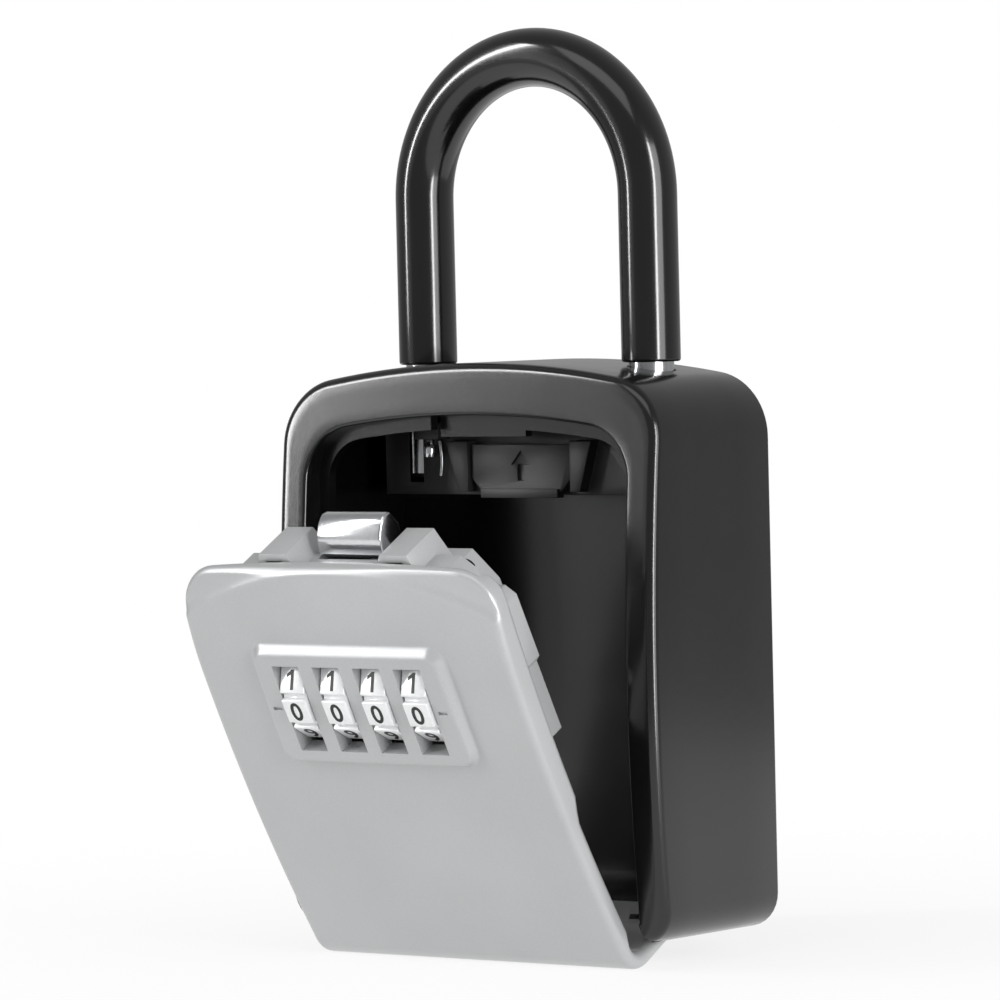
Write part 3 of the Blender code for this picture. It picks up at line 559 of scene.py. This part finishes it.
# %% The door's front as a function
PROUD, PLATE, FOOT_PLATE, FOOT_ROUND = 4.0, 4.4, 3.4, 6.5
DOOR_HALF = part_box("door_panel")[1].x / MM
DOOR_TOP, DOOR_ARCH, DOOR_CORNER, SIDE_ROUND = 93.8, 450.0, 9.5, 1.6
CREASE_TOP, CREASE_RADIUS = DOOR_TOP - 0.7, 75.0
PAD = (24.2, 51.2, 78.4, 1.7, 4.0)  # half width, low, high, rise, corner
AXLE_Y, AXLE_Z = 4.0, 64.4


def soft(t):
    t = min(max(t, 0.0), 1.0)
    return t * t * (3 - 2 * t)


def door_top(x):
    """Height of the door's top edge: a shallow arch that ends in round corners."""
    corner_x, centre = DOOR_HALF - DOOR_CORNER, DOOR_TOP - DOOR_ARCH
    corner_z = centre + math.sqrt((DOOR_ARCH - DOOR_CORNER) ** 2 - corner_x ** 2)
    meet_x = corner_x * DOOR_ARCH / (DOOR_ARCH - DOOR_CORNER)
    if abs(x) <= meet_x:
        return centre + math.sqrt(DOOR_ARCH ** 2 - x * x)
    return corner_z + math.sqrt(max(DOOR_CORNER ** 2 - (abs(x) - corner_x) ** 2, 0.0))


def pad_rise(x, z):
    """The raised pad with its round corners. The slope at its edge is broad above and crisp below."""
    half, low, high, rise, corner = PAD
    beside = abs(x) - half + corner
    beyond = abs(z - (low + high) / 2) - (high - low) / 2 + corner
    inside = corner - math.hypot(max(beside, 0.0), max(beyond, 0.0)) - min(max(beside, beyond), 0.0)
    return rise * soft(inside / (1.3 + 1.1 * soft((z - low) / (high - low))))


def drawn_back(x, z):
    """How far the front falls back near the top crease and above it."""
    above = z - (CREASE_TOP - x * x / (2 * CREASE_RADIUS))
    slope = 0.8 * max(0.0, 1 + min(above, 0.0) / 12.0) ** 2
    return slope + 1.6 * (1 - math.exp(-0.45 * max(above, 0.0)))


def door_front(x, z):
    return front_y(z) - PROUD + drawn_back(x, z) - pad_rise(x, z)


print(f"pad face {-door_front(0, 58):.1f} mm in front of the box")


# %% [markdown]
# Along the very edge the plate is rounded. Near each side the columns close in on the middle of the
# plate's thickness, along a quarter circle, and the last column is capped.

# %% One column of the door, and all of them
def spread(stops, step):
    """Values from stop to stop, each stretch cut into equal parts of about its own step."""
    values = [stops[0]]
    for start, end, size in zip(stops, stops[1:], step):
        count = max(1, round((end - start) / size))
        values += [start + (end - start) * i / count for i in range(1, count + 1)]
    return values


ROWS = spread([FOOT_ROUND, 50.8, 55.4, 74.0, 78.8, 86.0], [3.0, 0.25, 1.4, 0.25, 0.8])
TOP_ROWS = [1 - (1 - i / 16) ** 1.6 for i in range(1, 17)]
TOP_EASE = 1.2  # rounding of the top edge
KNEE = 36.0  # the sides are deeper above this height
RIM_HALF, RIM_DEPTH = 35.2, 1.8  # that deeper rim runs beside the cover


def column(x, pinch):
    """The J at one x, as (y, z) round the section; pinch draws the skin in, at the rounded sides."""
    top = door_top(x)
    shoulder = min(ROWS[-1], top - 4.0)
    squeeze = (shoulder - KNEE) / (ROWS[-1] - KNEE)
    heights = [z if z < KNEE else KNEE + (z - KNEE) * squeeze for z in ROWS]
    heights += [shoulder + (top - shoulder) * share for share in TOP_ROWS]
    rim = RIM_DEPTH * soft((abs(x) - RIM_HALF + 0.6) / 1.2)
    skin, lining = [], []
    for z in reversed(heights):
        edge = min(1.0, (top - z) / TOP_EASE)
        ease = TOP_EASE * (1 - math.sqrt(1 - (1 - edge) ** 2))
        back = front_y(z) + PLATE - PROUD + rim * soft((z - KNEE) / 6)
        front = min(door_front(x, z) + ease + pinch, back - pinch - ease * 0.5 - 0.1)
        skin.append((front, z))
        lining.append((back - pinch - ease * 0.5, z))
    foot_front = front_y(FOOT_ROUND) - PROUD
    foot = arc(foot_front + FOOT_ROUND, FOOT_ROUND, FOOT_ROUND - pinch, 180, 270, 12)[1:]
    barrel = arc(HINGE_Y, HINGE_Z, HINGE_Z - pinch, 270, 420, 18)
    floor = [(HINGE_Y - 2.4, FOOT_PLATE - pinch)]
    bend = arc(foot_front + FOOT_ROUND, FOOT_ROUND, FOOT_ROUND - FOOT_PLATE + pinch, 270, 180, 8)
    return skin + foot + barrel + floor + bend + lining[::-1][1:]


half_columns = spread([0, 14.8, 20.0, 24.4, 29.4, DOOR_HALF - SIDE_ROUND], [1.5, 1.0, 0.25, 1.2, 0.6])
columns = [(x, 0.0) for x in half_columns]
columns += [(DOOR_HALF - SIDE_ROUND * (1 - math.sin(a)), SIDE_ROUND * (1 - math.cos(a))) for a in QUARTER[1:]]
columns = [(-x, pinch) for x, pinch in reversed(columns[1:])] + columns
door = loft("door", [[at(x, y, z) for y, z in column(x, pinch)] for x, pinch in columns])
print(len(columns), "columns of", len(column(0, 0)), "points")

# %% [markdown]
# Four slots let the dials through, and a pocket behind them makes room for the wheels. The pad has a short
# engraved mark at each end of the row, to line the digits up with. The bores for the hinge pins are drilled
# into the foot.

# %% Carve the door
DIAL_COUNT, DIAL_PITCH, SLOT_WIDTH, SLOT_LENGTH = 4, 10.0, 6.6, 19.2
pad_face = -PROUD - PAD[3]


def dial_x(i):
    return (i - (DIAL_COUNT - 1) / 2) * DIAL_PITCH


tools = [slab("pocket", (-19, -1.9, AXLE_Z - 11.2), (22.4, 4, AXLE_Z + 11.2))]
for i in range(DIAL_COUNT):
    x = dial_x(i)
    tools.append(slab("slot", (x - SLOT_WIDTH / 2, -12, AXLE_Z - SLOT_LENGTH / 2),
                      (x + SLOT_WIDTH / 2, 4, AXLE_Z + SLOT_LENGTH / 2)))
for side in (-1, 1):
    tools.append(slab("mark", (side * 20.4 - 1.1, pad_face - 2, AXLE_Z - 0.35),
                      (side * 20.4 + 1.1, pad_face + 0.6, AXLE_Z + 0.35)))
    tools.append(bore("pin_bore", (side * 30, HINGE_Y, HINGE_Z), (side * 50, HINGE_Y, HINGE_Z),
                      PIN_RADIUS + GAP, sides=24))
door = carve(door, *tools)
new_piece("door_casting", door, "grey_paint", "door_panel", sharp=38, swing=SWING)
print("door:", len(door.polygons), "faces")

# %% [markdown]
# ## The dials
#
# Each dial is a wheel with ten flat tabs, one for a digit, and grooves between them that a fingertip
# catches on. The outline goes round once, tab by tab, and is pulled sideways. The edges are then eased.

# %% Dial wheels
DIAL_RADIUS, DIAL_WIDTH, DIGITS, AXLE_RADIUS = 10.8, 6.0, 10, 1.8
TAB_HALF, GROOVE_SHARE, WHEEL_EASE = 14.2, 0.90, 0.28
TAB_FLAT = DIAL_RADIUS * math.cos(math.radians(TAB_HALF))


def wheel_outline():
    points = []
    for k in range(DIGITS):
        middle = 180 + 360 / DIGITS * k
        for offset, share in ((-TAB_HALF, 1), (TAB_HALF, 1), (TAB_HALF + 2.2, GROOVE_SHARE),
                              (360 / DIGITS - TAB_HALF - 1.2, GROOVE_SHARE)):
            angle = math.radians(middle + offset)
            points.append((AXLE_Y + DIAL_RADIUS * share * math.cos(angle),
                           AXLE_Z + DIAL_RADIUS * share * math.sin(angle)))
    return points


for i in range(DIAL_COUNT):
    x = dial_x(i)
    wheel = prism("wheel", wheel_outline(), "x", x - DIAL_WIDTH / 2, x + DIAL_WIDTH / 2)
    wheel = eased(wheel, WHEEL_EASE, angle=25)
    hole = bore("hole", (x - 9, AXLE_Y, AXLE_Z), (x + 9, AXLE_Y, AXLE_Z), AXLE_RADIUS + GAP)
    new_piece(f"digit_wheel_{i + 1}", carve(wheel, hole), "dial_white", f"dial_wheel_{i + 1}", swing=SWING)
print(DIAL_COUNT, "wheels of", DIGITS, "tabs")

# %% [markdown]
# The digits are filled in black, level with the tab. A text curve with Blender's own plain font draws each
# one, a tenth of a millimetre thick. Zero faces forward, and one stands above it. The font's one is a bare
# bar at this weight, so it gets its short flag from four listed points.


# %% Digits
DIGIT_SIZE, DIGIT_DEPTH, DIGIT_BOLD = 5.6, 0.1, 0.09


def add_flag(mesh, size, depth):
    """The short slanting stroke at the top left of a one."""
    left, top = min(v.co.x for v in mesh.vertices), max(v.co.y for v in mesh.vertices)
    stroke = [(0.02, 0), (-0.17, -0.15), (-0.17, -0.28), (0.02, -0.16)]
    work = bmesh.new()
    work.from_mesh(mesh)
    below, above = [[work.verts.new((left + x * size * MM, top + y * size * MM, level * depth * MM / 2))
                     for x, y in stroke] for level in (-1, 1)]
    work.faces.new(above)
    work.faces.new(below[::-1])
    for i in range(len(stroke)):
        work.faces.new((above[i - 1], below[i - 1], below[i], above[i]))
    work.to_mesh(mesh)
    work.free()


def digit_mesh(digit, size, depth):
    """A digit centred on its own middle, standing on the XY plane, in metres."""
    text = bpy.data.curves.new("digit", "FONT")
    text.body, text.size, text.extrude = str(digit), size * MM, depth * MM / 2
    text.align_x, text.align_y, text.offset = "CENTER", "CENTER", DIGIT_BOLD * MM
    text.resolution_u = 6
    mesh = evaluated(placed("digit", text))
    low = min(v.co.y for v in mesh.vertices)
    high = max(v.co.y for v in mesh.vertices)
    mesh.transform(Matrix.Translation((0, -(low + high) / 2, 0)))
    if digit == 1:
        add_flag(mesh, size, depth)
    return mesh


for i in range(DIAL_COUNT):
    work = bmesh.new()
    for digit in range(DIGITS):
        flat = digit_mesh(digit, DIGIT_SIZE, DIGIT_DEPTH)
        turn = Matrix.Rotation(math.radians(-360 / DIGITS * digit), 4, "X")
        upright = Matrix.Rotation(math.radians(90), 4, "X")
        centre = at(dial_x(i), AXLE_Y, AXLE_Z)
        outward = Matrix.Translation((0, -TAB_FLAT * MM, 0))
        flat.transform(Matrix.Translation(centre) @ turn @ outward @ upright)
        work.from_mesh(flat)
        bpy.data.meshes.remove(flat)
    digits = mesh_of(work, "digits")
    digits.transform(SWING)
    item = placed(f"digits_{i + 1}", digits)
    digits.materials.append(DIGIT_BLACK)
    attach(item, f"dial_{i + 1}")
print(DIAL_COUNT * DIGITS, "digits")

# %% [markdown]
# ## The latch button
#
# The button is a chrome-plated hook that is pushed down to free the door. From the side its front is a
# quarter roll that curls under at the foot, and its back is a ramp that rides over the strike bar.

# %% Latch button
LATCH_HALF, LATCH_LOW, LATCH_TOP, STEM_HALF = 7.9, 89.5, 98.3, 5.0
roll = arc(14.3, 92.1, 6.2, 196, 106, 18)
ramp = [(14.2, LATCH_TOP - 0.6), (15.5, 94.4), (15.0, LATCH_LOW), (9.4, LATCH_LOW)]
button = eased(prism("button", ramp + roll, "x", -LATCH_HALF, LATCH_HALF), 0.5, segments=4, angle=24)
stem = [slab("stem", (-STEM_HALF, 13.6, 87.2), (STEM_HALF, 14.8, LATCH_LOW + 1)),
        slab("foot", (-STEM_HALF, 13.6, 84.2), (STEM_HALF, 16.9, 87.6))]
new_piece("button_hook", carve(button, *stem, how="UNION"), "chrome", "latch_button", swing=SWING)

# %% [markdown]
# ## Small parts
#
# The cover on the back of the door, the lock housing and the rest are already the right shape in the
# working model. Real edges are never razor sharp, though, and it is the thin glint along an edge that
# tells the eye how big a thing is. So each gets a copy with eased edges, and the copy stands for it.


# %% Eased copies of working parts
def eased_copy(node, width, slot, segments=2):
    source = frame["nodes"][node].data
    work = bmesh.new()
    work.from_mesh(source)
    bmesh.ops.remove_doubles(work, verts=work.verts, dist=0.000002)
    bmesh.ops.dissolve_limit(work, angle_limit=math.radians(0.5), verts=work.verts, edges=work.edges)
    mesh = eased(mesh_of(work, node), width, segments)
    return new_piece(f"{node}_eased", mesh, slot, node)


EASED = {
    "door_cover": (0.45, "grey_paint"), "lock_housing": (0.35, "black_plastic"),
    "release_slider": (0.3, "black_plastic"), "reset_lever": (0.3, "black_plastic"),
    "lock_bolt_left": (0.25, "steel"), "lock_bolt_right": (0.25, "steel"), "latch_plate": (0.15, "steel"),
    "dial_spring": (0.1, "steel"), "keeper_pin": (0.12, "chrome"), "dial_axle": (0.2, "steel"),
    "housing_screw_left": (0.15, "steel"), "housing_screw_right": (0.15, "steel"),
    "hinge_pin_left": (0.15, "steel"), "hinge_pin_right": (0.15, "steel"),
}
for word in ("top_left", "top_right", "low_left", "low_right"):
    EASED[f"cover_screw_{word}"] = (0.18, "chrome")
for i in range(DIAL_COUNT):
    EASED[f"dial_cam_{i + 1}"] = (0.15, "steel")
for node, (width, slot) in EASED.items():
    eased_copy(node, width, slot)
print(len(EASED), "parts with eased edges")

# %% [markdown]
# The springs are wire, and wire is a path with a round section. Their working solids are square wire with
# few turns of detail, so finer round ones stand for them.


# %% Springs
TURN_STEPS = 24  # points in each turn of a coil


def wire(name, path, radius):
    curve = bpy.data.curves.new(name, "CURVE")
    curve.dimensions, curve.bevel_depth, curve.bevel_resolution = "3D", radius * MM, 4
    curve.use_fill_caps = True
    spline = curve.splines.new("POLY")
    spline.points.add(len(path) - 1)
    for point, spot in zip(spline.points, path):
        point.co = (*at(*spot), 1.0)
    work = bmesh.new()
    work.from_mesh(evaluated(placed(name, curve)))
    bmesh.ops.remove_doubles(work, verts=work.verts, dist=0.000001)
    return mesh_of(work, name)


def helix(x, y, low, high, radius, turns):
    steps = TURN_STEPS * turns
    angles = [2 * math.pi * i / TURN_STEPS for i in range(steps + 1)]
    return [(x + radius * math.cos(a), y + radius * math.sin(a), low + (high - low) * i / steps)
            for i, a in enumerate(angles)]


for side, word in ((-1, "left"), (1, "right")):
    coil = wire("coil", helix(side * 13, 12.6, 77.2, 79.1, 1.7, 3), 0.3)
    new_piece(f"coil_{word}", coil, "steel", f"latch_spring_{word}", swing=SWING)
keeper_low, keeper_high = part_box("keeper_spring")
keeper_x = (keeper_low.x + keeper_high.x) / 2 / MM
keeper_y = (keeper_low.y - CORNER_PLACE.y) / MM + 0.35
drop = [(keeper_x + 0.5 * math.sin(0.1 * t), keeper_y, 97.4 - t / 4) for t in range(29)]
new_piece("keeper_wire", wire("keeper", drop, 0.35), "steel", "keeper_spring")

# %% [markdown]
# ## The studio
#
# Black gloss has hardly a colour of its own: what is seen on it is the room. So the lights are tall soft
# boxes: narrow ones draw bright lines down the shackle and the edges, and wide dim ones lighten the flats.
# A low one fills the door, which leans forward. The room is dim to the box, a little less so behind it,
# and plain white to the camera.

# %% Room, floor and lights
scene = bpy.context.scene
scene.view_settings.view_transform = "Standard"
ROOM_FRONT, ROOM_BACK = 0.30, 0.42
room = bpy.data.worlds.new("white_studio")
room.use_nodes = True
tree = room.node_tree
tree.nodes.clear()
heading = add(tree, "ShaderNodeTexCoord").outputs["Generated"]
apart = add(tree, "ShaderNodeSeparateXYZ", links={"Vector": heading})
bounds = {"From Min": -0.1, "From Max": 0.7, "To Min": ROOM_FRONT, "To Max": ROOM_BACK}
behind = add(tree, "ShaderNodeMapRange", bounds, {"Value": apart.outputs["Y"]})
seen = add(tree, "ShaderNodeLightPath").outputs["Is Camera Ray"]
strength = add(tree, "ShaderNodeMix", {"B": 1.0}, {"Factor": seen, "A": behind.outputs["Result"]},
               data_type="FLOAT")
light = add(tree, "ShaderNodeBackground", {"Color": (1, 1, 1, 1)}, {"Strength": strength.outputs["Result"]})
add(tree, "ShaderNodeOutputWorld", links={"Surface": light.outputs["Background"]})
scene.world = room

middle = Vector((0, (shell_low.y + shell_high.y) / 2, 0))


def softbox(name, azimuth, height, distance, size, watts):
    """A soft light at a compass angle from straight ahead, in degrees to the right, facing the box."""
    lamp = bpy.data.lights.new(name, "AREA")
    lamp.shape, lamp.size, lamp.size_y, lamp.energy = "RECTANGLE", *size, watts
    item = placed(name, lamp)
    angle = math.radians(azimuth)
    item.location = middle + Vector((math.sin(angle) * distance, -math.cos(angle) * distance, height))
    item.rotation_euler = (middle - item.location).to_track_quat("-Z", "Y").to_euler()


softbox("front_wide", -36, 0.10, 1.5, (0.55, 1.5), 0.8)
softbox("front_strip", -46, 0.66, 1.5, (0.15, 1.3), 16.0)
softbox("right_strip", 66, 0.10, 1.3, (0.16, 1.3), 14.0)
softbox("right_wide", 82, 0.10, 1.3, (0.50, 1.3), 8.0)
softbox("overhead", 10, 1.3, 0.9, (1.4, 0.7), 4.0)
softbox("low_front", -20, -0.9, 1.2, (1.6, 0.6), 11.5)
print("room and six soft boxes")

# %% [markdown]
# The floor is a small pale card below the box. It glows towards its rim, up to the white of the room, so its
# edge doesn't show. The camera is a long lens at door-handle height, a little to the right and above, so
# verticals stay nearly straight.

# %% Floor and camera
FLOOR_GAP, FLOOR_HALF = 0.0005, 0.45


def pale_card():
    """White card, shaded under the box and glowing like the room away from it."""
    made = finish_of("pale_studio_card", "EFEFEF", "F4F4F4", (0.7, 0.8), 3.0, 0.0, patch_mm=300)
    tree = made.node_tree
    card = next(node for node in tree.nodes if node.type == "BSDF_PRINCIPLED")
    out = next(node for node in tree.nodes if node.type == "OUTPUT_MATERIAL")
    place = add(tree, "ShaderNodeTexCoord").outputs["Object"]
    reach = add(tree, "ShaderNodeVectorMath", links={0: place}, operation="LENGTH")
    far = add(tree, "ShaderNodeMapRange", {"From Min": -0.7, "From Max": 0.3},
              {"Value": reach.outputs["Value"]}, interpolation_type="SMOOTHSTEP")
    glow = add(tree, "ShaderNodeEmission", {"Color": (1, 1, 1, 1), "Strength": 1.0})
    faded = add(tree, "ShaderNodeMixShader", links={0: far.outputs["Result"], 1: card.outputs["BSDF"],
                                                    2: glow.outputs["Emission"]})
    tree.links.new(faded.outputs["Shader"], out.inputs["Surface"])
    return made


floor_mesh = bpy.data.meshes.new("floor")
work = bmesh.new()
bmesh.ops.create_grid(work, x_segments=1, y_segments=1, size=FLOOR_HALF)
work.to_mesh(floor_mesh)
work.free()
floor = placed("studio_floor", floor_mesh)
floor.location.z = cad_box[0][2] - FLOOR_GAP
floor_mesh.materials.append(pale_card())

AIM = Vector((0.00667, -0.03590, 0.02928))
AZIMUTH, RISE, ROLL = math.radians(37.363), math.radians(2.149), math.radians(1.364)
DISTANCE, LENS, SENSOR = 1.2318, 224.55, 36.0
back = Vector((math.sin(AZIMUTH) * math.cos(RISE), -math.cos(AZIMUTH) * math.cos(RISE), math.sin(RISE)))
right = Vector((math.cos(AZIMUTH), math.sin(AZIMUTH), 0))
up = back.cross(right)
lens = bpy.data.cameras.new("long_lens")
lens.lens, lens.sensor_width = LENS, SENSOR
camera = placed("long_lens", lens)
across = right * math.cos(ROLL) - up * math.sin(ROLL)
upward = right * math.sin(ROLL) + up * math.cos(ROLL)
facing = Matrix((across, upward, back)).transposed().to_4x4()
camera.matrix_world = Matrix.Translation(AIM + back * DISTANCE) @ facing
scene.camera = camera
print("camera at", [round(v, 3) for v in camera.location])
